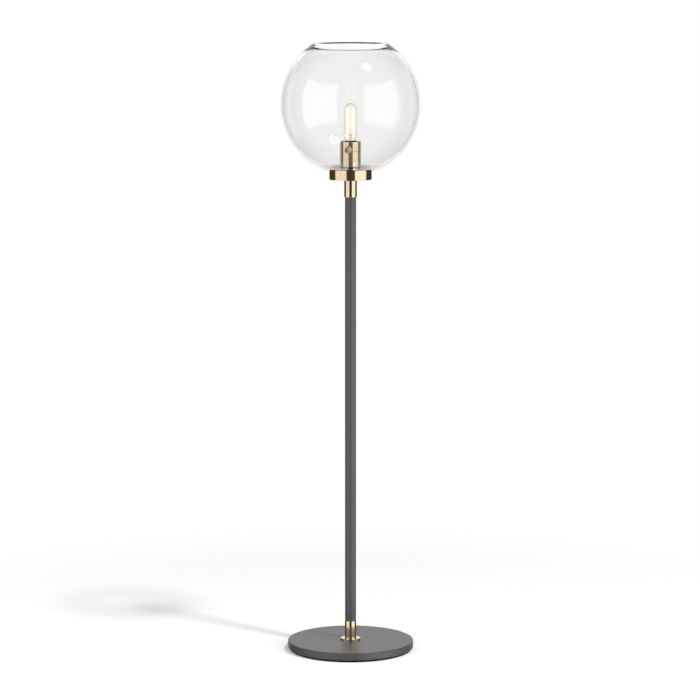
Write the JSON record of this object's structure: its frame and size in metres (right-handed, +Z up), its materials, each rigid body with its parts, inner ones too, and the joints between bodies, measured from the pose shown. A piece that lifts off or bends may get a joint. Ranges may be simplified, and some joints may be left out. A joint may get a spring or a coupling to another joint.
{
  "type": "globe floor lamp",
  "caption": "Floor lamp: clear open-topped glass globe with a tubular bulb on a brass fitter, slim dark grey pole, round weighted base and a knob switch on the lampholder.",
  "frame": {"origin": "middle of the base pad's face on the floor", "axes": "+Z up along the pole, -Y the front, where the switch's knob points, +Y the rear, where the cord enters the base"},
  "size_m": [0.35, 0.35, 1.5383],
  "materials": {
    "graphite_paint": "satin powder coat",
    "cast_iron": "as cast",
    "zinc_steel": "zinc plated",
    "black_pad": "matt foam rubber",
    "black_nylon": "matt moulded",
    "brass": "polished and lacquered",
    "clear_glass": "blown, clear",
    "bulb_glass": "blown, clear",
    "clear_silicone": "translucent",
    "porcelain": "glazed",
    "fibre": "vulcanised fibre",
    "bakelite": "pressed",
    "nickel": "nickel plated",
    "contact_brass": "stamped, bare",
    "black_cap_glass": "fused black glass",
    "solder": "solder",
    "filament": "phosphor coated",
    "support_wire": "drawn wire"
  },
  "bodies": {
    "stand": {"base_cover": "graphite_paint", "base_weight": "cast_iron", "base_plate": "zinc_steel", "base_plate_screws": "zinc_steel", "base_pad": "black_pad", "cable_gland": "black_nylon", "base_stud": "zinc_steel", "stud_washer": "zinc_steel", "stud_lock_washer": "zinc_steel", "stud_nut": "zinc_steel", "flange_disc": "brass", "lower_ferrule": "brass", "pole_tube": "graphite_paint", "lower_plug": "zinc_steel", "upper_plug": "zinc_steel", "upper_ferrule": "brass", "holder_nipple": "zinc_steel", "fitter_housing": "brass", "fitter_underplate": "brass", "fitter_spacer": "zinc_steel", "fitter_nut": "contact_brass", "seat_gasket": "clear_silicone", "globe_glass": "clear_glass", "clamp_gasket": "clear_silicone", "cup_lower": "brass", "cup_upper": "brass", "cup_washer": "zinc_steel", "cup_nut": "zinc_steel", "holder_body": "porcelain", "holder_screws": "zinc_steel", "screw_shell": "nickel", "shell_contact": "contact_brass", "centre_contact": "contact_brass", "terminal_screws": "zinc_steel", "insulating_sleeve": "fibre", "switch_housing": "bakelite", "switch_leaf": "contact_brass"},
    "switch": {"switch_cam": "bakelite", "switch_spindle": "contact_brass", "switch_knob": "brass"},
    "bulb_thread": {"bulb_tip": "solder"},
    "bulb": {"bulb_insulator": "black_cap_glass", "bulb_cap": "nickel", "bulb_glass": "bulb_glass", "bulb_stem": "bulb_glass", "bulb_supports": "support_wire", "bulb_filaments": "filament"}
  },
  "joints": [
    {"name": "switch_turn", "type": "hinge", "parent": "stand", "child": "switch", "pos_m": [0, 0, 1.2751], "axis": [-0.1822, -0.9833, 0], "continuous": true},
    {"name": "bulb_lift", "type": "slide", "parent": "stand", "child": "bulb_thread", "axis": [0, 0, 1], "range_m": [0, 0.01638]},
    {"name": "bulb_turn", "type": "hinge", "parent": "bulb_thread", "child": "bulb", "pos_m": [0, 0, 1.27], "axis": [0, 0, 1], "range_deg": [0, 1620]}
  ],
  "couplings": [
    {"joint": "bulb_lift", "follows": "bulb_turn", "m_per_rad": 0.00057751}
  ]
}
